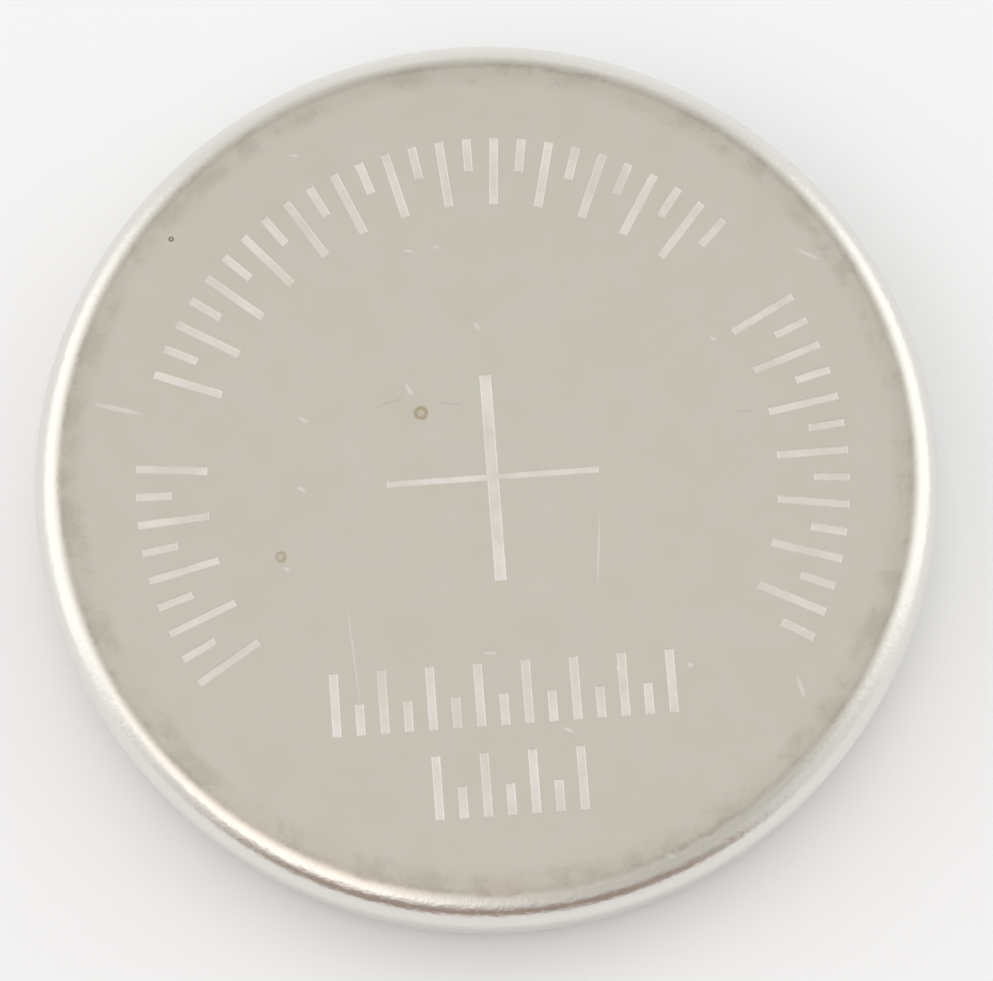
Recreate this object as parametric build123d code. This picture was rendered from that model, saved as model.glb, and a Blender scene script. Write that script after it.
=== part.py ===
from build123d import *
import os
from math import atan2, cos, hypot, radians, sin, sqrt, tan

# A rechargeable lithium coin cell of the 2032 size, in millimetres.
# The frame's origin is the centre of the cap's outer face, and +Z points out of the positive face.

# Overall size
CELL_DIAMETER = 20.0
CELL_HEIGHT = 3.2

# Positive can: one deep-drawn cup whose open edge is crimped inwards underneath
CAN_WALL = 0.25
CAN_CORNER_RADIUS = 0.8       # outer radius of the rim between face and side wall
FACE_ROLL_WIDTH = 1.15        # the outer band of the face that falls away towards the rim
FACE_ROLL_DROP = 0.05
FACE_ROLL_RADIUS = 6.0
CRIMP_BEND_RADIUS = 0.62      # outer radius where the side wall turns under
CRIMP_FLAT = 0.15
CRIMP_LIP_LENGTH = 0.32
CRIMP_LIP_ANGLE = 22.0        # degrees by which the lip rises towards the cap
CRIMP_LIP_RADIUS = 0.5

# Negative cap: one pressed cup with a raised face, a shoulder and a skirt
CAP_WALL = 0.25
CAP_PROUD = 0.12              # how far the cap's face stands proud of the crimp
CAP_STEP_RUN = 0.45
CAP_BEND_INSIDE = 0.15

# Sealing gasket: one moulded ring that wraps the cap's skirt
GASKET_WALL = 0.35
GASKET_LIP = 0.2
GASKET_FOOT = 0.3
GASKET_FOOT_REACH = 0.3       # how far the foot reaches inside the skirt
GASKET_SHOW = 0.15            # how far the lip shows inside the crimp's mouth
MOUTH_GAP = 0.3               # from the crimp's mouth in to where the cap's step begins

# Electrode stack: anode, separator, cathode, separator and so on, with an anode at each end
CATHODE_COUNT = 4
ANODE_COUNT = CATHODE_COUNT + 1
CATHODE_TO_ANODE_THICKNESS = 1.1
SEPARATOR_THICKNESS = 0.04
FILM_THICKNESS = 0.05
FOIL_THICKNESS = 0.03
TAB_WIDTH = 2.4
STACK_CLEARANCE = 0.02        # left over the top anode
SEPARATOR_OVERHANG = 0.1      # of the separators beyond the anodes, and of the anodes beyond the cathodes
STACK_SIDE_GAP = 0.1          # from the separators' edge to the leads

# Leads: strips folded into an L, one arm up the side of the stack and one foot on the metal
LEAD_THICKNESS = 0.06
LEAD_WIDTH = 3.0
LEAD_FOOT_LENGTH = 4.5
LEAD_BEND_RADIUS = 0.12
LEAD_CLEARANCE = 0.05
LEAD_OVERRUN = 0.06           # of each arm past the last tab that it joins

# Etched marks in the positive face: a plus sign, an arc of strokes round it and two rows below it
MARK_DEPTH = 0.02
MARK_CENTRE = (0.13, -0.24)
MARK_TURN = 4.3               # degrees, counter-clockwise seen from outside
STROKE_WIDTH = 0.19
PLUS_ARM = 4.65
PLUS_UPRIGHT_WIDTH = 0.25
PLUS_LEVEL_WIDTH = 0.16
ARC_INNER_RADIUS = 6.26
ARC_OUTER_RADIUS = 7.82
ARC_SPANS = ((-121.5, -84.5), (-68.5, 45.5), (62.5, 121.5))   # degrees clockwise from the top
ARC_PITCH = 4.65
ROW_HEIGHT = 1.4
ROW_PITCH = 0.52
ROWS = ((-4.79, 15), (-6.74, 7))                              # height from the plus, strokes in the row
ROW_SHIFT = -0.13                # the rows sit a little to the left of the plus
SHORT_STROKE = 0.5            # a short stroke's length as a share of a long one's

cell_radius = CELL_DIAMETER / 2


# ---- Bent sheet sections ----

def moved_sideways(points, distance):
    """The path moved to its right by a distance, with mitred corners."""
    headings = [atan2(b[1] - a[1], b[0] - a[0]) for a, b in zip(points, points[1:])]
    moved = []
    for index, (x, y) in enumerate(points):
        before = headings[max(index - 1, 0)]
        after = headings[min(index, len(headings) - 1)]
        middle = (before + after) / 2
        reach = distance / cos((after - before) / 2)
        moved.append((x + reach * sin(middle), y - reach * cos(middle)))
    return moved


def bends_moved(points, bends, distance):
    """The bends' radii on the path moved to its right: less on a right turn and more on a left one."""
    radii = []
    for a, b, c, bend in zip(points, points[1:], points[2:], bends):
        turn = (b[0] - a[0]) * (c[1] - b[1]) - (b[1] - a[1]) * (c[0] - b[0])
        radii.append(bend - distance if turn < 0 else bend + distance)
    return radii


def rounded(points, bends):
    return FilletPolyline(*points, radius=bends)


def bent_sheet(points, bends, wall):
    """The section of a sheet that lies to the right of its outer path, or to the left if wall is negative."""
    far_points = moved_sideways(points, wall)
    outer = rounded(points, bends)
    inner = rounded(far_points, bends_moved(points, bends, wall))
    ends = Line(points[0], far_points[0]) + Line(points[-1], far_points[-1])
    return make_face(outer + inner + ends)


def filled(points, bends):
    """The area between the axis and a path that starts on it, closed level with the path's far end."""
    closing = Polyline(points[-1], (0, points[-1][1]), points[0])
    return make_face(rounded(points, bends) + closing)


def turned(section):
    """A section in the radius and height plane, turned about the cell's axis."""
    return revolve(Plane.XZ * section, Axis.Z)


# ---- Paths of the two metal shells, as radius and height ----

lip_run = CRIMP_LIP_LENGTH * cos(radians(CRIMP_LIP_ANGLE))
lip_rise = CRIMP_LIP_LENGTH * sin(radians(CRIMP_LIP_ANGLE))
crimp_turn_radius = cell_radius - CRIMP_BEND_RADIUS - CRIMP_FLAT
mouth_radius = crimp_turn_radius - lip_run

can_path = [
    (0, CELL_HEIGHT),
    (cell_radius - FACE_ROLL_WIDTH, CELL_HEIGHT),
    (cell_radius, CELL_HEIGHT - FACE_ROLL_DROP),
    (cell_radius, CAP_PROUD),
    (crimp_turn_radius, CAP_PROUD),
    (mouth_radius, CAP_PROUD + lip_rise),
]
can_bends = [FACE_ROLL_RADIUS, CAN_CORNER_RADIUS, CRIMP_BEND_RADIUS, CRIMP_LIP_RADIUS]
can_inner_path = moved_sideways(can_path, CAN_WALL)
can_inner_bends = bends_moved(can_path, can_bends, CAN_WALL)
can_inner_face = CELL_HEIGHT - CAN_WALL

shoulder_height = can_inner_path[-1][1] + GASKET_LIP
shoulder_inner_radius = mouth_radius - MOUTH_GAP
cap_face_radius = shoulder_inner_radius - CAP_STEP_RUN
skirt_radius = cell_radius - CAN_WALL - GASKET_WALL
skirt_top = can_inner_face - GASKET_FOOT
cap_path = [
    (0, 0),
    (cap_face_radius, 0),
    (shoulder_inner_radius, shoulder_height),
    (skirt_radius, shoulder_height),
    (skirt_radius, skirt_top),
]
cap_bend_outside = CAP_BEND_INSIDE + CAP_WALL
cap_bends = [cap_bend_outside, CAP_BEND_INSIDE, cap_bend_outside]


# ---- Etched marks ----

def stroke(x, y, width, length, turn=0):
    """One straight stroke, centred at a place on the face, its length along the turned Y."""
    return Pos(x, y) * Rot(0, 0, turn) * Rectangle(width, length)


def plus_sign():
    upright = stroke(0, 0, PLUS_UPRIGHT_WIDTH, PLUS_ARM)
    level = stroke(0, 0, PLUS_ARM, PLUS_LEVEL_WIDTH)
    return [upright + level]


def arc_strokes():
    """Radial strokes, long and short in turn, in the stretches round the plus sign."""
    strokes = []
    long_length = ARC_OUTER_RADIUS - ARC_INNER_RADIUS
    for start, end in ARC_SPANS:
        steps = round((end - start) / ARC_PITCH)
        for step in range(steps + 1):
            angle = start + step * (end - start) / steps
            length = long_length * (SHORT_STROKE if step % 2 else 1)
            radius = ARC_OUTER_RADIUS - length / 2
            x = radius * sin(radians(angle))
            y = radius * cos(radians(angle))
            strokes.append(stroke(x, y, STROKE_WIDTH, length, -angle))
    return strokes


def row_strokes():
    """Upright strokes, long and short in turn, in rows across the face."""
    strokes = []
    for height, count in ROWS:
        for step in range(count):
            x = ROW_SHIFT + (step - (count - 1) / 2) * ROW_PITCH
            length = ROW_HEIGHT * (SHORT_STROKE if step % 2 else 1)
            strokes.append(stroke(x, height - (ROW_HEIGHT - length) / 2, STROKE_WIDTH, length))
    return strokes


def mark_pockets():
    """The shallow pockets that the etching leaves in the positive face."""
    place = Pos(MARK_CENTRE[0], MARK_CENTRE[1], CELL_HEIGHT) * Rot(0, 0, MARK_TURN)
    return [extrude(place * mark, -MARK_DEPTH) for mark in plus_sign() + arc_strokes() + row_strokes()]


# ---- Case ----

def positive_can():
    return turned(bent_sheet(can_path, can_bends, CAN_WALL)) - mark_pockets()


def negative_cap():
    return turned(bent_sheet(cap_path, cap_bends, -CAP_WALL))


def sealing_gasket():
    """What fills the room between the can and the cap, from the crimp's mouth round to the foot."""
    between = filled(can_inner_path, can_inner_bends) - filled(cap_path, cap_bends)
    lip_inside = mouth_radius - GASKET_SHOW
    foot_inside = skirt_radius - CAP_WALL - GASKET_FOOT_REACH
    lip_room = Pos(lip_inside, 0) * Rectangle(cell_radius, skirt_top, align=(Align.MIN, Align.MIN))
    foot_room = Pos(foot_inside, skirt_top) * Rectangle(cell_radius, CELL_HEIGHT, align=(Align.MIN, Align.MIN))
    return turned(between & (lip_room + foot_room))


# ---- Electrode stack, built up from the cap's inner face ----

floor_bend_start = CAP_BEND_INSIDE * tan(atan2(shoulder_height, CAP_STEP_RUN) / 2)
cap_floor_radius = moved_sideways(cap_path, -CAP_WALL)[1][0] - floor_bend_start
lead_outer = sqrt((cap_floor_radius - LEAD_CLEARANCE) ** 2 - (LEAD_WIDTH / 2) ** 2)
lead_inner = lead_outer - LEAD_THICKNESS
separator_radius = lead_inner - STACK_SIDE_GAP
anode_radius = separator_radius - SEPARATOR_OVERHANG
cathode_radius = anode_radius - SEPARATOR_OVERHANG

stack_bottom = CAP_WALL + LEAD_THICKNESS
film_bottom = can_inner_face - LEAD_THICKNESS - FILM_THICKNESS
separator_count = 2 * CATHODE_COUNT
room_for_plates = film_bottom - STACK_CLEARANCE - stack_bottom - separator_count * SEPARATOR_THICKNESS
anode_thickness = room_for_plates / (ANODE_COUNT + CATHODE_COUNT * CATHODE_TO_ANODE_THICKNESS)
cathode_thickness = anode_thickness * CATHODE_TO_ANODE_THICKNESS
stack_pitch = anode_thickness + cathode_thickness + 2 * SEPARATOR_THICKNESS


def disc(radius, bottom, thickness):
    return Pos(0, 0, bottom) * Cylinder(radius, thickness, align=(Align.CENTER, Align.CENTER, Align.MIN))


def plate(radius, bottom, thickness, side):
    """A coated foil disc and its bare foil tab, which reaches the lead on one side of the stack."""
    middle = bottom + thickness / 2
    tab = Pos(side * lead_inner / 2, 0, middle) * Box(lead_inner, TAB_WIDTH, FOIL_THICKNESS)
    return disc(radius, bottom, thickness) + tab


def anode_bottom(index):
    return stack_bottom + index * stack_pitch


def cathode_bottom(index):
    return anode_bottom(index) + anode_thickness + SEPARATOR_THICKNESS


def separator_bottom(index):
    pair = index // 2
    if index % 2 == 0:
        return anode_bottom(pair) + anode_thickness
    return cathode_bottom(pair) + cathode_thickness


def lead(side, foot_height, end_height):
    """A strip whose foot lies on the metal and whose arm stands along the tabs, up or down."""
    path = [
        (side * (lead_outer - LEAD_FOOT_LENGTH), foot_height),
        (side * lead_outer, foot_height),
        (side * lead_outer, end_height),
    ]
    wall_side = 1 if side * (end_height - foot_height) < 0 else -1
    section = bent_sheet(path, [LEAD_BEND_RADIUS], wall_side * LEAD_THICKNESS)
    return extrude(Plane.XZ * section, LEAD_WIDTH / 2, both=True)


def anode_lead():
    last_tab = anode_bottom(ANODE_COUNT - 1) + anode_thickness / 2
    return lead(1, CAP_WALL, last_tab + LEAD_OVERRUN)


def cathode_lead():
    last_tab = cathode_bottom(0) + cathode_thickness / 2
    return lead(-1, can_inner_face, last_tab - LEAD_OVERRUN)


# ---- All pieces ----

def all_pieces():
    pieces = {
        "positive_can": positive_can(),
        "sealing_gasket": sealing_gasket(),
        "negative_cap": negative_cap(),
        "insulating_film": disc(separator_radius, film_bottom, FILM_THICKNESS),
        "anode_lead": anode_lead(),
        "cathode_lead": cathode_lead(),
    }
    for index in range(ANODE_COUNT):
        bottom = anode_bottom(index)
        pieces[f"anode_plate_{index + 1}"] = plate(anode_radius, bottom, anode_thickness, 1)
    for index in range(CATHODE_COUNT):
        bottom = cathode_bottom(index)
        pieces[f"cathode_plate_{index + 1}"] = plate(cathode_radius, bottom, cathode_thickness, -1)
    for index in range(separator_count):
        bottom = separator_bottom(index)
        pieces[f"separator_{index + 1}"] = disc(separator_radius, bottom, SEPARATOR_THICKNESS)
    return pieces


os.makedirs("parts", exist_ok=True)
for name, piece in all_pieces().items():
    export_step(piece, f"parts/{name}.step")
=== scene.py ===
# %% [markdown]
# # A lithium coin cell on a pale table
# The cell is a small sealed can: a nickel-plated steel cup, crimped over a plastic gasket round a pressed cap.
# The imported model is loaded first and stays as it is. It gives every size, and each visible metal shell is then
# built again with finer curves, because its rim is a mirror and shows every facet.

# %% Load the fixed frame
from math import atan2, cos, pi, radians, sin, tan

import bmesh
import bpy
from mathutils import Matrix, Vector


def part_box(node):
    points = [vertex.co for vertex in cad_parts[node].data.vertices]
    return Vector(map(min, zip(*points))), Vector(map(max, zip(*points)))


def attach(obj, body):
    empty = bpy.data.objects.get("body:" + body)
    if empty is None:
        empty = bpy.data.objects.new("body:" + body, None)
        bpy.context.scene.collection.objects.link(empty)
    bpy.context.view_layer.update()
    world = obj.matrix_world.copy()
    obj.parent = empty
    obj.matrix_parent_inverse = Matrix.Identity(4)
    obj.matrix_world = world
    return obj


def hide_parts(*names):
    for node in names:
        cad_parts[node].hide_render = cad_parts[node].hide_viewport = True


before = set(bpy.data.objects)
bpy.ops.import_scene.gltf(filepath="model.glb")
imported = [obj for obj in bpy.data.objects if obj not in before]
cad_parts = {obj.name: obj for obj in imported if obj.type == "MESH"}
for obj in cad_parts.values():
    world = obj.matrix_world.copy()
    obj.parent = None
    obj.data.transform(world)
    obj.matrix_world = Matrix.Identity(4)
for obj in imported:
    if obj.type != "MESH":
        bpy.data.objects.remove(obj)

MM = 0.001
# the scene that Blender starts with would count towards the box
for leftover in ("Cube", "Light", "Camera"):
    if leftover in bpy.data.objects:
        bpy.data.objects.remove(bpy.data.objects[leftover])
bpy.context.view_layer.update()

# %% [markdown]
# ## Sizes
# The outside sizes come from the frame's boxes. The bends between them are the sheet's own, in millimetres,
# and are the same as in the CAD part.

# %% Sizes read from the frame
can_low, can_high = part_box("positive_can")
cap_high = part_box("negative_cap")[1]
cell_radius = can_high.x
face_height = can_high.z
crimp_height = can_low.z
skirt_radius = cap_high.x
skirt_top = cap_high.z
print("radius", round(cell_radius / MM, 3), "face at", round(face_height / MM, 3))

# %% Sizes of the bends and walls
wall = 0.25 * MM
face_roll_width = 1.15 * MM
face_roll_drop = 0.05 * MM
face_roll_bend = 6.0 * MM
rim_bend = 0.8 * MM
crimp_bend = 0.62 * MM
crimp_flat = 0.15 * MM
lip_length = 0.32 * MM
lip_angle = radians(22)
lip_bend = 0.5 * MM
shoulder_height = 0.6716 * MM
mouth_gap = 0.3 * MM
cap_step_run = 0.45 * MM
cap_bend = 0.4 * MM
cap_inside_bend = 0.15 * MM
mouth_radius = cell_radius - crimp_bend - crimp_flat - lip_length * cos(lip_angle)
print("mouth of the can, mm:", round(mouth_radius / MM, 3))

# %% [markdown]
# ## Turned sheet metal
# Both shells are deep-drawn from flat sheet, so each is a skin with one thickness. The skin's sharp outline is
# spun round the axis, its corners are bevelled to the radius of each bend, and Solidify then gives it the wall.
# Spinning first and bevelling after keeps every bend a true arc, with no list of points to keep.

# %% A skin spun from its outline
TURN_STEPS = 288
BEND_STEPS = 12


def spun_skin(outline):
    """A skin of revolution round Z. The first point is off the axis, and its ring is closed by one flat face."""
    mesh = bmesh.new()
    corners = [mesh.verts.new((radius, 0, height)) for radius, height in outline]
    edges = [mesh.edges.new(pair) for pair in zip(corners, corners[1:])]
    bmesh.ops.spin(mesh, geom=corners + edges, cent=(0, 0, 0), axis=(0, 0, 1), dvec=(0, 0, 0),
                   angle=2 * pi, steps=TURN_STEPS, use_merge=True)
    bmesh.ops.remove_doubles(mesh, verts=mesh.verts, dist=1e-7)
    inner_ring = [e for e in mesh.edges if e.is_boundary and near_ring(e, *outline[0])]
    bmesh.ops.edgeloop_fill(mesh, edges=inner_ring)
    bmesh.ops.recalc_face_normals(mesh, faces=mesh.faces)
    return mesh


def near_ring(edge, radius, height):
    """Whether an edge lies on the ring of that radius and height."""
    return all(abs(v.co.xy.length - radius) < 1e-6 and abs(v.co.z - height) < 1e-6 for v in edge.verts)


def turn_at(before, corner, after):
    """The angle by which an outline turns at a corner."""
    first = atan2(corner[1] - before[1], corner[0] - before[0])
    second = atan2(after[1] - corner[1], after[0] - corner[0])
    return abs((second - first + pi) % (2 * pi) - pi)


def round_bends(mesh, outline, bends):
    """Rounds each corner of the spun outline to the radius of its bend."""
    for before, corner, after, bend in zip(outline, outline[1:], outline[2:], bends):
        ring = [e for e in mesh.edges if near_ring(e, *corner)]
        reach = bend * tan(turn_at(before, corner, after) / 2)
        bmesh.ops.bevel(mesh, geom=ring, offset=reach, offset_type="OFFSET", segments=BEND_STEPS,
                        profile=0.5, affect="EDGES", material=-1)


# %% A finished object from a mesh
def as_object(mesh, name):
    data = bpy.data.meshes.new(name)
    mesh.to_mesh(data)
    mesh.free()
    piece = bpy.data.objects.new(name, data)
    bpy.context.scene.collection.objects.link(piece)
    return piece


def apply_modifiers(piece):
    """Puts the piece's modifiers into its mesh."""
    bpy.context.view_layer.update()
    evaluated = piece.evaluated_get(bpy.context.evaluated_depsgraph_get())
    finished = bpy.data.meshes.new_from_object(evaluated)
    piece.modifiers.clear()
    piece.data = finished


def shade(piece, sharp_angle=25):
    """Smooth shading over the bends, and flat shading on every level face so that it reflects as one plane."""
    data = piece.data
    data.shade_smooth()
    data.set_sharp_from_angle(angle=radians(sharp_angle))
    for face in data.polygons:
        if abs(face.normal.z) > 0.999999:
            face.use_smooth = False


def sheet_metal(name, outline, bends, thickness):
    mesh = spun_skin(outline)
    round_bends(mesh, outline, bends)
    piece = as_object(mesh, name)
    sheet = piece.modifiers.new("wall", "SOLIDIFY")
    sheet.thickness = thickness
    sheet.offset = -1
    sheet.use_even_offset = True
    return piece


# %% [markdown]
# ## The positive can
# Its outline runs from the face over the rim, down the side wall and under to the crimped lip. The face falls
# away very slightly before the rim, which on the real cell is what dims the outermost band of the face.

# %% The can's skin
crimp_turn = cell_radius - crimp_bend - crimp_flat
face_flat_radius = cell_radius - face_roll_width
face_ring_width = 0.5 * MM
can_outline = [
    (face_flat_radius - face_ring_width, face_height),
    (face_flat_radius, face_height),
    (cell_radius, face_height - face_roll_drop),
    (cell_radius, crimp_height),
    (crimp_turn, crimp_height),
    (mouth_radius, crimp_height + lip_length * sin(lip_angle)),
]
can = sheet_metal("can_shell", can_outline, [face_roll_bend, rim_bend, crimp_bend, lip_bend], wall)
print("can skin:", len(can.data.polygons), "faces")

# %% [markdown]
# ## Etched marks
# The face is etched with a plus sign, an arc of strokes round it and two rows of strokes below. On the real
# cell they are about a hundredth of a millimetre deep, with soft sloping sides. Each stroke is a small block
# whose underside is narrower, and one Boolean cuts them all, so that the marks are real hollows in the sheet.

# %% Sizes of the marks
mark_depth = 0.012 * MM
mark_slope = 0.022 * MM
mark_centre = Vector((0.13 * MM, -0.24 * MM, 0))
mark_turn = radians(4.3)
stroke_width = 0.19 * MM
plus_arm = 4.65 * MM
plus_upright_width = 0.25 * MM
plus_level_width = 0.16 * MM
arc_inner_radius = 6.26 * MM
arc_outer_radius = 7.82 * MM
arc_spans = ((-121.5, -84.5), (-68.5, 45.5), (62.5, 121.5))   # degrees clockwise from the top
arc_pitch = 4.65
row_height = 1.4 * MM
row_pitch = 0.52 * MM
rows = ((-4.79 * MM, 15), (-6.74 * MM, 7))   # height from the plus, strokes in the row
row_shift = -0.13 * MM
short_stroke = 0.5   # as a share of a long stroke


# %% One stroke as a block with sloping sides
def cut_stroke(mesh, x, y, width, length, turn=0.0):
    """Adds a block that cuts one stroke. Its slope runs from the face down to the stroke's floor."""
    made = bmesh.ops.create_cube(mesh, size=1)["verts"]
    for corner in made:
        side = -1 if corner.co.z < 0 else 1
        corner.co.x *= width + 2 * side * mark_slope
        corner.co.y *= length + 2 * side * mark_slope
        corner.co.z = side * mark_depth
    place = Matrix.Translation((x, y, 0)) @ Matrix.Rotation(turn, 4, "Z")
    bmesh.ops.transform(mesh, matrix=place, verts=made)


def arc_strokes(mesh):
    long_length = arc_outer_radius - arc_inner_radius
    for start, end in arc_spans:
        steps = round((end - start) / arc_pitch)
        for step in range(steps + 1):
            angle = radians(start + step * (end - start) / steps)
            length = long_length * (short_stroke if step % 2 else 1)
            radius = arc_outer_radius - length / 2
            cut_stroke(mesh, radius * sin(angle), radius * cos(angle), stroke_width, length, -angle)


def row_strokes(mesh):
    for height, count in rows:
        for step in range(count):
            x = row_shift + (step - (count - 1) / 2) * row_pitch
            length = row_height * (short_stroke if step % 2 else 1)
            cut_stroke(mesh, x, height - (row_height - length) / 2, stroke_width, length)


# %% Cut the marks into the face
marks = bmesh.new()
cut_stroke(marks, 0, 0, plus_upright_width, plus_arm)
cut_stroke(marks, 0, 0, plus_arm, plus_level_width)
arc_strokes(marks)
row_strokes(marks)
place = Matrix.Translation(mark_centre + Vector((0, 0, face_height))) @ Matrix.Rotation(mark_turn, 4, "Z")
bmesh.ops.transform(marks, matrix=place, verts=marks.verts)
cutter = as_object(marks, "mark_cutter")
cut = can.modifiers.new("marks", "BOOLEAN")
cut.operation = "DIFFERENCE"
cut.solver = "EXACT"
cut.use_self = True
cut.object = cutter
apply_modifiers(can)
bpy.data.objects.remove(cutter)
shade(can)
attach(can, "root")
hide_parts("positive_can")
print("can with its marks:", len(can.data.polygons), "faces")

# %% [markdown]
# ## The negative cap
# The cell rests on the cap, so only its edge can be seen in the gap under the crimp. Turned over, the cap is a
# flat disc with a short step up to the shoulder that the gasket grips.

# %% The cap's skin
shoulder_radius = mouth_radius - mouth_gap
cap_face_radius = shoulder_radius - cap_step_run
cap_ring_width = 1.0 * MM
cap_outline = [
    (cap_face_radius - cap_ring_width, 0),
    (cap_face_radius, 0),
    (shoulder_radius, shoulder_height),
    (skirt_radius, shoulder_height),
    (skirt_radius, skirt_top),
]
cap = sheet_metal("cap_shell", cap_outline, [cap_bend, cap_inside_bend, cap_bend], wall)
apply_modifiers(cap)
shade(cap)
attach(cap, "root")
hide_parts("negative_cap")
print("cap:", len(cap.data.polygons), "faces")


# %% [markdown]
# ## Building materials from nodes
# Every finish here is a node tree, so a few small helpers keep each one readable. A value passed to a helper
# may be a plain number or another node's output.

# %% Helpers for node trees
def put(tree, socket, value):
    """Sets a socket to a plain value, or links another socket into it."""
    if isinstance(value, bpy.types.NodeSocket):
        tree.links.new(value, socket)
    else:
        socket.default_value = value


def maths(tree, operation, *values, clamp=False):
    node = tree.nodes.new("ShaderNodeMath")
    node.operation = operation
    node.use_clamp = clamp
    for socket, value in zip(node.inputs, values):
        put(tree, socket, value)
    return node.outputs[0]


def ramp(tree, value, start, end, low=0.0, high=1.0):
    """A smooth step of a value from start to end."""
    node = tree.nodes.new("ShaderNodeMapRange")
    node.interpolation_type = "SMOOTHSTEP"
    for name, setting in (("Value", value), ("From Min", start), ("From Max", end),
                          ("To Min", low), ("To Max", high)):
        put(tree, node.inputs[name], setting)
    return node.outputs["Result"]


def blend_colours(tree, share, first, second, how="MIX"):
    node = tree.nodes.new("ShaderNodeMix")
    node.data_type = "RGBA"
    node.blend_type = how
    put(tree, node.inputs["Factor"], share)
    for socket, colour in ((node.inputs[6], first), (node.inputs[7], second)):
        put(tree, socket, colour if isinstance(colour, bpy.types.NodeSocket) else (*colour, 1))
    return node.outputs[2]


def noise(tree, place, scale, detail=2.0, roughness=0.5):
    node = tree.nodes.new("ShaderNodeTexNoise")
    put(tree, node.inputs["Vector"], place)
    for name, setting in (("Scale", scale), ("Detail", detail), ("Roughness", roughness)):
        put(tree, node.inputs[name], setting)
    return node.outputs["Fac"]


def placed(tree, place, location=(0, 0, 0), turn=0.0, scale=(1, 1, 1)):
    """A pattern's place moved, turned about Z and stretched."""
    node = tree.nodes.new("ShaderNodeMapping")
    put(tree, node.inputs["Vector"], place)
    node.inputs["Location"].default_value = location
    node.inputs["Rotation"].default_value = (0, 0, turn)
    node.inputs["Scale"].default_value = scale
    return node.outputs["Vector"]


def split(tree, place):
    node = tree.nodes.new("ShaderNodeSeparateXYZ")
    put(tree, node.inputs[0], place)
    return node.outputs


def length_of(tree, x, y):
    return maths(tree, "SQRT", maths(tree, "ADD", maths(tree, "MULTIPLY", x, x), maths(tree, "MULTIPLY", y, y)))


def new_group(name, inputs, outputs):
    """A shader node group with its inputs (name, kind, value) and its outputs (name, kind)."""
    tree = bpy.data.node_groups.new(name, "ShaderNodeTree")
    for label, kind, value in inputs:
        tree.interface.new_socket(name=label, in_out="INPUT", socket_type=kind)
        tree.interface.items_tree[label].default_value = value
    for label, kind in outputs:
        tree.interface.new_socket(name=label, in_out="OUTPUT", socket_type=kind)
    return tree, tree.nodes.new("NodeGroupInput").outputs, tree.nodes.new("NodeGroupOutput").inputs


def place_group(tree, group, **values):
    """Puts a group into a material. Its inputs are named with underscores for spaces."""
    node = tree.nodes.new("ShaderNodeGroup")
    node.node_tree = group
    for name, value in values.items():
        put(tree, node.inputs[name.replace("_", " ")], value)
    return node.outputs


FLOAT, COLOUR, VECTOR = "NodeSocketFloat", "NodeSocketColor", "NodeSocketVector"

# %% [markdown]
# ## Effects that several finishes share
# Sheet metal is never one even colour: it has broad faint patches, a fine satin grain, hair scratches from
# handling, specks, nicks and small pits. Each effect is one group, placed in each finish with its own values.
# Places are in millimetres, so that a group's sizes can be read as sizes on the metal.


# %% Broad patches of colour
def make_patches():
    tree, given, result = new_group(
        "patches",
        [("Place", VECTOR, (0, 0, 0)), ("Colour", COLOUR, (0.5, 0.5, 0.5, 1)), ("Size", FLOAT, 1.5),
         ("Strength", FLOAT, 0.5)],
        [("Colour", COLOUR)])
    scale = maths(tree, "DIVIDE", 1.0, given["Size"])
    cool = noise(tree, given["Place"], scale, detail=2.0)
    warm = noise(tree, placed(tree, given["Place"], location=(31, 17, 5)), scale, detail=2.0)
    cool_share = maths(tree, "MULTIPLY", ramp(tree, cool, 0.5, 0.68), given["Strength"])
    warm_share = maths(tree, "MULTIPLY", ramp(tree, warm, 0.5, 0.68), given["Strength"])
    greener = blend_colours(tree, 1.0, given["Colour"], (0.965, 1.0, 0.95), how="MULTIPLY")
    pinker = blend_colours(tree, 1.0, given["Colour"], (1.0, 0.95, 0.945), how="MULTIPLY")
    colour = blend_colours(tree, cool_share, given["Colour"], greener)
    put(tree, result["Colour"], blend_colours(tree, warm_share, colour, pinker))
    return tree


# %% Fine grain
def make_grain():
    tree, given, result = new_group(
        "grain",
        [("Place", VECTOR, (0, 0, 0)), ("Size", FLOAT, 0.06), ("Roughness", FLOAT, 0.25), ("Spread", FLOAT, 0.05)],
        [("Roughness", FLOAT), ("Height", FLOAT)])
    fine = noise(tree, given["Place"], maths(tree, "DIVIDE", 1.0, given["Size"]), detail=2.0, roughness=0.6)
    broad = noise(tree, given["Place"], maths(tree, "DIVIDE", 0.15, given["Size"]), detail=1.0)
    swing = maths(tree, "MULTIPLY", maths(tree, "SUBTRACT", broad, 0.5), given["Spread"])
    put(tree, result["Roughness"], maths(tree, "ADD", given["Roughness"], swing))
    put(tree, result["Height"], fine)
    return tree


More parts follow.
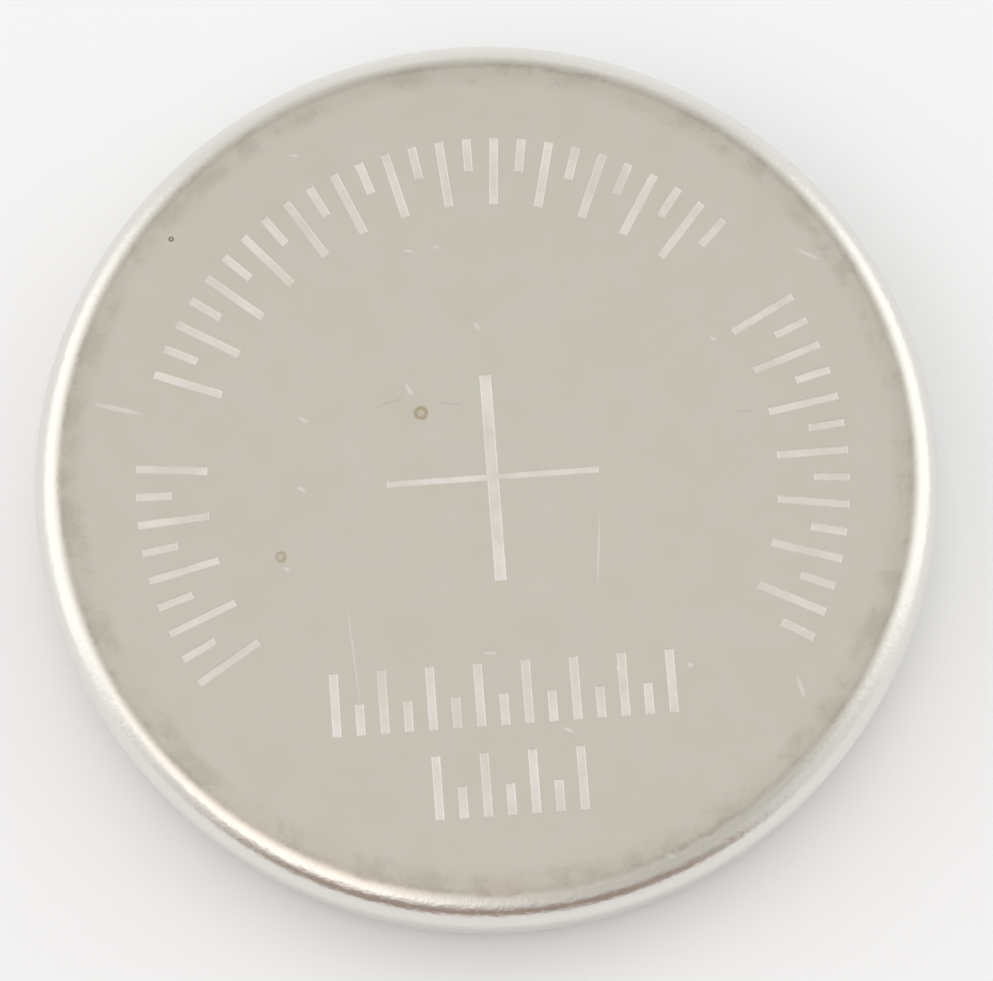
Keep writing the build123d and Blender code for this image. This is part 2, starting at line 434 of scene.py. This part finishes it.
# %% Hair scratches
def make_scratches():
    tree, given, result = new_group(
        "scratches",
        [("Place", VECTOR, (0, 0, 0)), ("Pitch", FLOAT, 0.6), ("Length", FLOAT, 9.0), ("Amount", FLOAT, 0.3)],
        [("Mask", FLOAT)])
    x, y, z = split(tree, given["Place"])
    lean = maths(tree, "MULTIPLY", noise(tree, given["Place"], 0.12, detail=0.0), 1.2)
    across = maths(tree, "DIVIDE", maths(tree, "ADD", x, lean), given["Pitch"])
    along = maths(tree, "DIVIDE", y, given["Length"])
    joined = tree.nodes.new("ShaderNodeCombineXYZ")
    put(tree, joined.inputs["X"], across)
    put(tree, joined.inputs["Y"], along)
    line = noise(tree, joined.outputs[0], 4.0, detail=3.0, roughness=0.75)
    fade = ramp(tree, noise(tree, given["Place"], 0.35, detail=1.0), 0.42, 0.66)
    put(tree, result["Mask"], maths(tree, "MULTIPLY", maths(tree, "MULTIPLY", ramp(tree, line, 0.62, 0.74), fade),
                                    given["Amount"]))
    return tree


# %% Tiny nicks and specks
def make_specks():
    tree, given, result = new_group(
        "specks",
        [("Place", VECTOR, (0, 0, 0)), ("Pitch", FLOAT, 1.2), ("Size", FLOAT, 0.03), ("Share", FLOAT, 0.25)],
        [("Mask", FLOAT)])
    cells = tree.nodes.new("ShaderNodeTexVoronoi")
    put(tree, cells.inputs["Vector"], given["Place"])
    put(tree, cells.inputs["Scale"], maths(tree, "DIVIDE", 1.0, given["Pitch"]))
    chosen = maths(tree, "LESS_THAN", split(tree, cells.outputs["Color"])[0], given["Share"])
    size = maths(tree, "DIVIDE", given["Size"], given["Pitch"])
    dot = ramp(tree, cells.outputs["Distance"], maths(tree, "MULTIPLY", size, 0.6), size, 1.0, 0.0)
    put(tree, result["Mask"], maths(tree, "MULTIPLY", chosen, dot))
    return tree


# %% How far a place is from a mark's middle, as a share of the mark's size
def share_of_mark(tree, given):
    """One Mapping node moves, turns and stretches the place, and a noise from outside makes the edge ragged."""
    node = tree.nodes.new("ShaderNodeMapping")
    node.vector_type = "TEXTURE"
    for socket, label in (("Vector", "Place"), ("Location", "Centre"), ("Rotation", "Lean"), ("Scale", "Half Size")):
        put(tree, node.inputs[socket], given[label])
    length = tree.nodes.new("ShaderNodeVectorMath")
    length.operation = "LENGTH"
    put(tree, length.inputs[0], node.outputs["Vector"])
    rag = maths(tree, "MULTIPLY", maths(tree, "SUBTRACT", given["Rag"], 0.5), given["Raggedness"])
    return maths(tree, "ADD", length.outputs["Value"], rag)


mark_inputs = [
    ("Place", VECTOR, (0, 0, 0)), ("Rag", FLOAT, 0.5), ("Centre", VECTOR, (0, 0, 0)), ("Lean", VECTOR, (0, 0, 0)),
    ("Half Size", VECTOR, (0.1, 0.1, 100)), ("Raggedness", FLOAT, 0.5)]


# %% A round pit with a brown ring
def make_pit():
    tree, given, result = new_group("pit", mark_inputs, [("Ring", FLOAT), ("Hollow", FLOAT)])
    share = share_of_mark(tree, given)
    inside = ramp(tree, share, 0.35, 0.75)
    outside = ramp(tree, share, 0.8, 1.25, 1.0, 0.0)
    put(tree, result["Ring"], maths(tree, "MULTIPLY", inside, outside))
    put(tree, result["Hollow"], ramp(tree, share, 0.1, 0.8, 1.0, 0.0))
    return tree


# %% A short nick, straight and soft at its ends
def make_nick():
    tree, given, result = new_group("nick", mark_inputs, [("Mask", FLOAT)])
    put(tree, result["Mask"], ramp(tree, share_of_mark(tree, given), 0.45, 1.1, 1.0, 0.0))
    return tree


patches, grain, scratches, specks, pit, nick = (
    make() for make in (make_patches, make_grain, make_scratches, make_specks, make_pit, make_nick))
print("groups:", [group.name for group in bpy.data.node_groups])


# %% An empty material with its place in millimetres
def new_material(name):
    material = bpy.data.materials.new(name)
    material.use_nodes = True
    tree = material.node_tree
    tree.nodes.clear()
    shader = tree.nodes.new("ShaderNodeBsdfPrincipled")
    output = tree.nodes.new("ShaderNodeOutputMaterial")
    tree.links.new(shader.outputs[0], output.inputs["Surface"])
    coordinates = tree.nodes.new("ShaderNodeTexCoord")
    return material, tree, shader.inputs, placed(tree, coordinates.outputs["Object"], scale=(1000, 1000, 1000))


def bump(tree, shader, height, strength, depth):
    node = tree.nodes.new("ShaderNodeBump")
    node.inputs["Strength"].default_value = strength
    node.inputs["Distance"].default_value = depth
    put(tree, node.inputs["Height"], height)
    put(tree, shader["Normal"], node.outputs[0])


# %% [markdown]
# ## Marks of handling
# A cell that has been carried about has nicks where something hard has touched it, a few dull scrapes, and pits
# where the plate has let the steel rust, each with a brown ring. The larger ones are placed one by one, because
# that is how they come about. The finer ones come from the shared effects.

# %% Where the can's nicks and pits are
bright = (0.80, 0.77, 0.72)
dull = (0.44, 0.42, 0.38)
nicks = [
    # x, y, lean in degrees, half length, half width, colour
    (-1.72, 1.74, -62, 0.16, 0.05, bright),
    (-2.14, 1.44, 20, 0.34, 0.03, dull),
    (-0.80, 1.42, -6, 0.32, 0.025, dull),
    (-0.22, 3.20, -50, 0.10, 0.06, bright),
    (0.17, -1.70, 80, 0.08, 0.06, bright),
    (0.08, -4.15, 4, 0.16, 0.04, bright),
    (1.77, -5.83, -25, 0.14, 0.05, bright),
    (2.84, -4.46, 30, 0.08, 0.06, bright),
    (-4.04, 1.05, -25, 0.14, 0.05, bright),
    (-4.05, -0.52, -35, 0.12, 0.06, bright),
    (-1.74, 4.92, -10, 0.12, 0.04, bright),
    (-1.13, 5.02, -10, 0.10, 0.05, bright),
    (6.77, -4.88, -72, 0.30, 0.05, bright),
    (4.40, -4.42, 0, 0.07, 0.06, bright),
    (7.22, -0.27, 0, 0.07, 0.06, bright),
    (-4.36, -2.30, -40, 0.09, 0.05, bright),
    (2.43, -1.95, 88, 0.95, 0.025, bright),
    (-2.88, -4.2, -82, 1.35, 0.02, bright),
    (-8.15, 1.30, -12, 0.60, 0.07, bright),
    (3.96, -8.55, -15, 0.20, 0.07, bright),
    (-4.32, 7.15, -12, 0.14, 0.04, bright),
    (5.00, 2.90, -20, 0.08, 0.05, bright),
    (5.65, 1.25, 8, 0.22, 0.03, dull),
    (7.15, 4.85, -25, 0.34, 0.05, bright),
]
pits = [
    # x, y, radius, how strong, ring colour
    (-1.45, 1.20, 0.15, 0.75, (0.36, 0.29, 0.17)),
    (-4.49, -2.03, 0.12, 0.7, (0.40, 0.33, 0.22)),
    (-7.03, 5.20, 0.06, 1.0, (0.20, 0.16, 0.10)),
]
print("nicks:", len(nicks), "pits:", len(pits))


# %% The nicks and pits over a colour
FAR = 100   # a half size in z that reaches through the whole sheet
nick_strength = 0.45
hollow_strength = 0.35


def handled(tree, place, rag, colour):
    """Lays the nicks and pits over a colour, and gives it back with how deep the metal is dented."""
    deepest = 0.0
    for nick_x, nick_y, lean, half_length, half_width, tone in nicks:
        mask = place_group(tree, nick, Place=place, Rag=rag, Centre=(nick_x, nick_y, 0), Lean=(0, 0, radians(lean)),
                           Half_Size=(half_length, half_width, FAR), Raggedness=0.9)["Mask"]
        colour = blend_colours(tree, maths(tree, "MULTIPLY", mask, nick_strength), colour, tone)
    for pit_x, pit_y, pit_radius, strength, tone in pits:
        ring = place_group(tree, pit, Place=place, Rag=rag, Centre=(pit_x, pit_y, 0),
                           Half_Size=(pit_radius, pit_radius, FAR), Raggedness=0.5)
        colour = blend_colours(tree, maths(tree, "MULTIPLY", ring["Ring"], strength), colour, tone)
        hollow = maths(tree, "MULTIPLY", ring["Hollow"], hollow_strength * strength)
        colour = blend_colours(tree, hollow, colour, tone)
        deepest = maths(tree, "MAXIMUM", deepest, ring["Hollow"])
    return colour, deepest


# %% [markdown]
# ## Nickel plate on the can
# The can is steel under a thin nickel plate. The flat face is rolled satin, warm grey, and the drawn rim and
# wall are given a paler colour, a painted highlight. The etched strokes have lost that satin and scatter the
# light, so they look paler. The etched floors are found by their depth below the face, and the band of painted
# shade inside the rim by its distance from the axis, so that one finish serves the whole shell.

# %% Tones of the plate
face_mm = face_height / MM
roll_start = (cell_radius - face_roll_width) / MM
face_tone = (0.58, 0.547, 0.479, 1)
# painted highlight: the rim and wall get a paler colour than the face, for their brighter reflections
rim_highlight_tone = (0.80, 0.785, 0.745)
# painted shade for the roll just inside the rim
roll_shade_tone = (0.40, 0.365, 0.31)
etched_tone = (0.80, 0.775, 0.73)
scratch_tone = (0.68, 0.66, 0.6)
print("the face rolls off from", round(roll_start, 2), "mm")


# %% The band between face and rim
def roll_shade_band(tree, wavy, broad):
    """Painted shade in dull patches in the roll, and a ragged line of painted shade where the roll meets the rim."""
    blotches = ramp(tree, broad, 0.46, 0.6)
    before_rim = ramp(tree, wavy, roll_start + 0.66, roll_start + 0.76, 1.0, 0.0)
    in_roll = maths(tree, "MULTIPLY", ramp(tree, wavy, roll_start + 0.1, roll_start + 0.34), before_rim)
    line = maths(tree, "MULTIPLY", ramp(tree, wavy, roll_start + 0.54, roll_start + 0.64), before_rim)
    line_strength = maths(tree, "ADD", maths(tree, "MULTIPLY", blotches, 0.4), 0.14)
    return maths(tree, "MAXIMUM", maths(tree, "MULTIPLY", in_roll, maths(tree, "MULTIPLY", blotches, 0.34)),
                 maths(tree, "MULTIPLY", line, line_strength))


# %% Where the face is etched
def etched_mask(tree, radius, z):
    """The floors and slopes of the marks: a little below the face, on the outside, and not out in the roll."""
    below_face = ramp(tree, z, face_mm - 0.0005, face_mm - 0.004)
    near_face = maths(tree, "GREATER_THAN", z, face_mm - 0.1)
    inside_roll = maths(tree, "LESS_THAN", radius, roll_start - 0.3)
    return maths(tree, "MULTIPLY", maths(tree, "MULTIPLY", below_face, near_face), inside_roll)


# %% Colour of the plate, from the metal up
def plate_colour(tree, place, on_rim, roll_shade, etched, broad, rag):
    """Gives back the colour, and how deep the pits are."""
    base = place_group(tree, patches, Place=place, Colour=face_tone, Size=1.1, Strength=0.5)
    hair = place_group(tree, scratches, Place=place, Pitch=0.35, Length=8.0, Amount=0.5)["Mask"]
    flecks = place_group(tree, specks, Place=place, Pitch=0.9, Size=0.05, Share=0.12)["Mask"]
    colour = blend_colours(tree, maths(tree, "MULTIPLY", hair, 0.16), base["Colour"], scratch_tone)
    colour = blend_colours(tree, maths(tree, "MULTIPLY", flecks, 0.3), colour, bright)
    # painted highlight on the rim and wall
    colour = blend_colours(tree, on_rim, colour, rim_highlight_tone)
    # painted shade: the roll inside the rim is darkened in ragged patches and a ragged line, for its dimmer
    # reflection
    colour = blend_colours(tree, roll_shade, colour, roll_shade_tone)
    uneven = ramp(tree, broad, 0.3, 0.7, 0.55, 1.0)
    colour = blend_colours(tree, maths(tree, "MULTIPLY", etched, uneven), colour, etched_tone)
    return handled(tree, place, rag, colour)


# %% The can's finish
plate_roughness = 0.28
rim_polish = 0.07
etched_roughness = 0.25


def can_finish():
    material, tree, shader, place = new_material("nickel_can")
    x, y, z = split(tree, place)
    radius = length_of(tree, x, y)
    rag = noise(tree, place, 8.0)
    ripple = noise(tree, place, 2.4, detail=5.0, roughness=0.7)
    broad = noise(tree, placed(tree, place, location=(7, 3, 0)), 0.9, detail=5.0, roughness=0.7)
    wavy = maths(tree, "ADD", radius, maths(tree, "MULTIPLY", ripple, 0.36))
    on_rim = ramp(tree, radius, roll_start + 0.45, roll_start + 0.75)
    etched = etched_mask(tree, radius, z)
    # where the roll inside the rim gets painted shade
    roll_shade = roll_shade_band(tree, wavy, broad)

    colour, dented = plate_colour(tree, place, on_rim, roll_shade, etched, broad, rag)
    put(tree, shader["Base Color"], colour)

    grained = place_group(tree, grain, Place=place, Size=0.12, Roughness=plate_roughness, Spread=0.10)
    rough = maths(tree, "SUBTRACT", grained["Roughness"], maths(tree, "MULTIPLY", on_rim, rim_polish))
    put(tree, shader["Roughness"], maths(tree, "ADD", rough, maths(tree, "MULTIPLY", etched, etched_roughness)))
    shader["Metallic"].default_value = 1.0

    # the drawn rim is less flat than the rolled face
    waves = maths(tree, "MULTIPLY", ripple, maths(tree, "ADD", maths(tree, "MULTIPLY", on_rim, 2.6), 0.25))
    height = maths(tree, "ADD", maths(tree, "MULTIPLY", grained["Height"], 0.2), waves)
    height = maths(tree, "ADD", height, maths(tree, "MULTIPLY", maths(tree, "MULTIPLY", rag, on_rim), 1.1))
    bump(tree, shader, maths(tree, "SUBTRACT", height, dented), 0.5, 0.01 * MM)
    print(material.name, "nodes:", len(tree.nodes))
    return material


can.data.materials.clear()
can.data.materials.append(can_finish())

# %% [markdown]
# ## The other finishes
# The cap is the same plate with a duller, slightly stippled skin. The gasket is natural plastic, a little
# see-through. Inside are leads of metal foil, black coated plates and thin films, which show only if the cell
# is opened, so their finishes are simpler. Two functions make them all, each call with its own tones and sizes.


# %% The cap and the leads
def plate_finish(name, colour, patch_size, grain_size, roughness, depth):
    material, tree, shader, place = new_material(name)
    base = place_group(tree, patches, Place=place, Colour=(*colour, 1), Size=patch_size, Strength=0.6)
    grained = place_group(tree, grain, Place=place, Size=grain_size, Roughness=roughness, Spread=0.12)
    hair = place_group(tree, scratches, Place=place, Pitch=0.4, Length=6.0, Amount=0.6)["Mask"]
    flecks = place_group(tree, specks, Place=place, Pitch=0.9, Size=0.04, Share=0.2)["Mask"]
    tone = blend_colours(tree, maths(tree, "MULTIPLY", hair, 0.3), base["Colour"], (0.7, 0.68, 0.63))
    tone = blend_colours(tree, maths(tree, "MULTIPLY", flecks, 0.5), tone, (0.74, 0.72, 0.67))
    put(tree, shader["Base Color"], tone)
    put(tree, shader["Roughness"], grained["Roughness"])
    shader["Metallic"].default_value = 1.0
    bump(tree, shader, grained["Height"], 0.5, depth)
    return material


# %% Plastics, films and coatings
def matt_finish(name, colour, second, roughness, grain_size, depth, see_through=0.0):
    material, tree, shader, place = new_material(name)
    broad = noise(tree, place, 0.5, detail=4.0, roughness=0.6)
    colour = blend_colours(tree, ramp(tree, broad, 0.35, 0.65), colour, second)
    put(tree, shader["Base Color"], colour)
    grained = place_group(tree, grain, Place=place, Size=grain_size, Roughness=roughness, Spread=0.15)
    put(tree, shader["Roughness"], grained["Roughness"])
    shader["Transmission Weight"].default_value = see_through
    bump(tree, shader, grained["Height"], 0.4, depth)
    return material


# %% A finish for each piece that the frame brings
def coat(material, *names):
    """Gives a material to each CAD node whose name starts with one of these."""
    coated = [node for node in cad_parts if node.startswith(names)]
    for node in coated:
        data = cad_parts[node].data
        data.materials.clear()
        data.materials.append(material)
    print(material.name, "on", coated)


cap_finish = plate_finish("nickel_cap", (0.56, 0.55, 0.51), 1.6, 0.09, 0.34, 0.012 * MM)
cap.data.materials.clear()
cap.data.materials.append(cap_finish)
coat(can.data.materials[0], "positive_can")
coat(cap_finish, "negative_cap")
coat(matt_finish("gasket_plastic", (0.62, 0.61, 0.55), (0.56, 0.55, 0.49), 0.45, 0.08, 0.01 * MM, 0.15),
     "sealing_gasket")
coat(matt_finish("amber_film", (0.62, 0.33, 0.06), (0.55, 0.27, 0.04), 0.22, 0.15, 0.002 * MM), "insulating_film")
coat(plate_finish("nickel_lead", (0.60, 0.58, 0.53), 1.0, 0.05, 0.3, 0.004 * MM), "anode_lead")
coat(plate_finish("aluminium_lead", (0.75, 0.75, 0.76), 1.0, 0.05, 0.32, 0.004 * MM), "cathode_lead")
coat(matt_finish("graphite_coat", (0.05, 0.05, 0.055), (0.035, 0.035, 0.04), 0.75, 0.04, 0.01 * MM), "anode_plate")
coat(matt_finish("oxide_coat", (0.03, 0.03, 0.032), (0.022, 0.022, 0.024), 0.7, 0.03, 0.01 * MM), "cathode_plate")
coat(matt_finish("white_film", (0.85, 0.85, 0.84), (0.80, 0.80, 0.79), 0.6, 0.05, 0.003 * MM), "separator")

# %% [markdown]
# ## The table
# The cell lies on a plain white table, which takes a soft shadow close round the can. The table is a hair's
# breadth lower than the cap's face, because two faces in one plane would flicker.

# %% The table top
TABLE_RADIUS = 1.0
TABLE_DROP = 0.01 * MM
table_mesh = bmesh.new()
bmesh.ops.create_circle(table_mesh, cap_ends=True, segments=96, radius=TABLE_RADIUS)
bmesh.ops.translate(table_mesh, verts=table_mesh.verts, vec=(0, 0, -TABLE_DROP))
table = as_object(table_mesh, "table")


def table_finish():
    material, tree, shader, place = new_material("white_table")
    speckle = noise(tree, place, 0.12, detail=2.0)
    pale = blend_colours(tree, speckle, (0.835, 0.845, 0.86), (0.845, 0.855, 0.87))
    put(tree, shader["Base Color"], pale)
    shader["Roughness"].default_value = 0.7
    return material


table.data.materials.append(table_finish())
print("table radius, m:", TABLE_RADIUS)

# %% [markdown]
# ## The light
# Small bright metal is lit in a tent of white paper: what the metal shows is the tent, so the light is set by
# where each sheet of the tent lies. The world stands for the tent, with a soft-edged panel for each sheet.
# A panel is a window of directions, from the cell outwards: x to the right, y away from the camera, z up.
# The light parts are sheets with a lamp behind them, and the dull ones are gaps where the room shows.

# %% The tent's panels
tent = (0.78, 0.77, 0.75)
backdrop = (0.93, 0.93, 0.93)
EVERY = (-2, -1.9, 1.9, 2)
panels = [
    # what it is, x, y, z as (from, full from, full to, to), colour
    ("far sheet", EVERY, (0.78, 0.98, 2, 2.1), (-0.02, 0.02, 0.5, 0.6), (0.90, 0.89, 0.87)),
    ("right sheet", (0.34, 0.72, 2, 2.1), (-0.42, 0.1, 0.6, 0.95), (-0.02, 0.02, 0.93, 1.0), (1.32, 1.32, 1.30)),
    ("left sheet", (-2.1, -2, -0.72, -0.30), (-0.55, -0.1, 0.5, 0.95), (-0.02, 0.02, 0.93, 1.0),
     (1.32, 1.31, 1.29)),
    ("dull corner", (0.0, 0.2, 0.5, 0.75), (-0.95, -0.7, -0.3, -0.1), (0.2, 0.35, 0.8, 0.9), (0.62, 0.60, 0.57)),
    ("near lamp", (-0.78, -0.55, -0.35, 0.15), (-0.92, -0.72, -0.3, -0.1), (0.38, 0.6, 2, 2.1),
     (1.55, 1.42, 1.36)),
    ("dark gap", EVERY, (-2.1, -2, -0.85, -0.6), (-0.04, 0.0, 0.3, 0.55), (0.34, 0.255, 0.215)),
    ("overhead sheet", (-0.30, -0.18, 0.18, 0.30), (-0.12, 0.04, 0.38, 0.5), (0.7, 0.8, 2, 2.1),
     (1.03, 1.03, 1.03)),
    ("below the table", EVERY, EVERY, (-2.1, -2, -0.02, 0.0), (0.82, 0.82, 0.81)),
]


def window(tree, value, span):
    """One inside the span, and nothing outside it, with soft edges."""
    rising = ramp(tree, value, span[0], span[1])
    falling = ramp(tree, value, span[2], span[3], 1.0, 0.0)
    return maths(tree, "MULTIPLY", rising, falling)


# %% The tent as a world
def light_tent():
    world = bpy.data.worlds.new("light_tent")
    world.use_nodes = True
    tree = world.node_tree
    tree.nodes.clear()
    coordinates = tree.nodes.new("ShaderNodeTexCoord")
    x, y, z = split(tree, coordinates.outputs["Generated"])
    colour = tent
    for name, across, away, up, tone in panels:
        mask = maths(tree, "MULTIPLY", window(tree, x, across), window(tree, y, away))
        mask = maths(tree, "MULTIPLY", mask, window(tree, z, up))
        colour = blend_colours(tree, mask, colour, tone)
        colour.node.label = name
    seen = tree.nodes.new("ShaderNodeLightPath").outputs["Is Camera Ray"]
    background = tree.nodes.new("ShaderNodeBackground")
    put(tree, background.inputs["Color"], blend_colours(tree, seen, colour, backdrop))
    output = tree.nodes.new("ShaderNodeOutputWorld")
    tree.links.new(background.outputs[0], output.inputs["Surface"])
    return world


bpy.context.scene.world = light_tent()
bpy.context.scene.view_settings.view_transform = "Standard"
print("panels in the tent:", len(panels))

# %% [markdown]
# ## A lamp behind the cell
# The tent alone gives almost no shadow. One broad lamp, high up behind the cell, throws a short soft one towards
# the viewer. It is hidden from glossy rays: the metal is to show the tent and nothing else.

# %% The lamp
lamp_distance = 0.5
lamp_height_angle = radians(72)
lamp_width = 0.34
lamp_power = 0.35

lamp_data = bpy.data.lights.new("back_lamp", "AREA")
lamp_data.shape = "DISK"
lamp_data.size = lamp_width
lamp_data.energy = lamp_power
lamp = bpy.data.objects.new("back_lamp", lamp_data)
bpy.context.scene.collection.objects.link(lamp)
lamp.location = lamp_distance * Vector((0, cos(lamp_height_angle), sin(lamp_height_angle)))
lamp.rotation_euler = (-lamp.location).to_track_quat("-Z", "Y").to_euler()
lamp.visible_glossy = False
lamp.visible_camera = False
print("lamp", lamp_power, "W")

# %% [markdown]
# ## The camera
# It looks almost straight down, tipped a little towards the near edge, so that a sliver of the near wall
# shows under the rim. The lens follows from how large the cell is in the frame.

# %% Where it stands and what it looks at
camera_distance = 70 * MM
camera_height_angle = radians(76.7)
frame_width_mm = 21.77
aim_right, aim_up = 0.21 * MM, -0.53 * MM

back = Vector((0, -cos(camera_height_angle), sin(camera_height_angle)))
right = Vector((1, 0, 0))
up = back.cross(right)
target = Vector((0, 0, face_height))
aim = target + aim_right * right + aim_up * up
position = target + camera_distance * back

# %% The camera, level from side to side
camera_data = bpy.data.cameras.new("camera")
camera_data.sensor_width = 36
camera_data.lens = camera_data.sensor_width * camera_distance / (frame_width_mm * MM)
camera_data.clip_start = 1 * MM
camera = bpy.data.objects.new("camera", camera_data)
bpy.context.scene.collection.objects.link(camera)
ahead = (aim - position).normalized()
level_right = (right - right.dot(ahead) * ahead).normalized()
camera_axes = Matrix((level_right, level_right.cross(ahead), -ahead)).transposed()
camera.matrix_world = Matrix.Translation(position) @ camera_axes.to_4x4()
bpy.context.scene.camera = camera
print("lens", round(camera_data.lens, 1), "mm")

# %% [markdown]
# ## The end

# %% Bring the scene up to date
bpy.context.view_layer.update()
